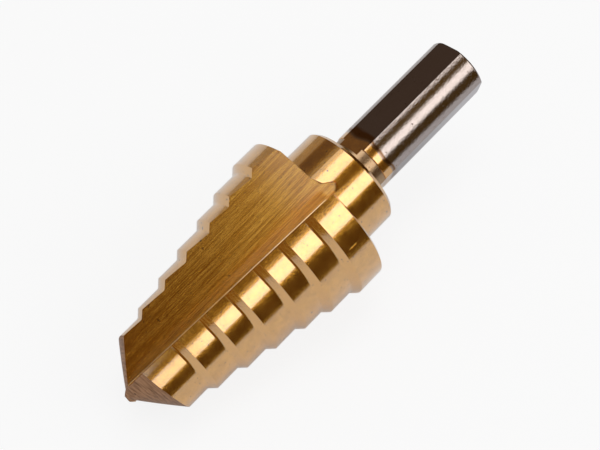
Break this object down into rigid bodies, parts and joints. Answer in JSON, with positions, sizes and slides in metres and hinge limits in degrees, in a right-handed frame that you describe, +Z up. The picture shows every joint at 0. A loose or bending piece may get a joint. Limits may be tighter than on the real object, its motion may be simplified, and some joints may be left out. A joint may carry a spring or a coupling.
{
  "type": "step drill",
  "caption": "Stepped drill with straight flutes, a ground cone point, a collar and a shank with flats; cuts clean round holes of rising size in sheet.",
  "frame": {"origin": "centre of the bounding box at its base, on the surface the drill lies on", "axes": "+Z up; the drill lies lengthwise along X with its point towards -X and its shank towards +X, raised about nine degrees at the shank"},
  "size_m": [0.07, 0.026, 0.0239],
  "materials": {
    "coated_steel": "thin satin gold coating on the stepped body, collar and neck; bright ground steel with a dark tempered edge on the shank"
  },
  "bodies": {
    "root": {"step_drill": "coated_steel"}
  },
  "joints": []
}
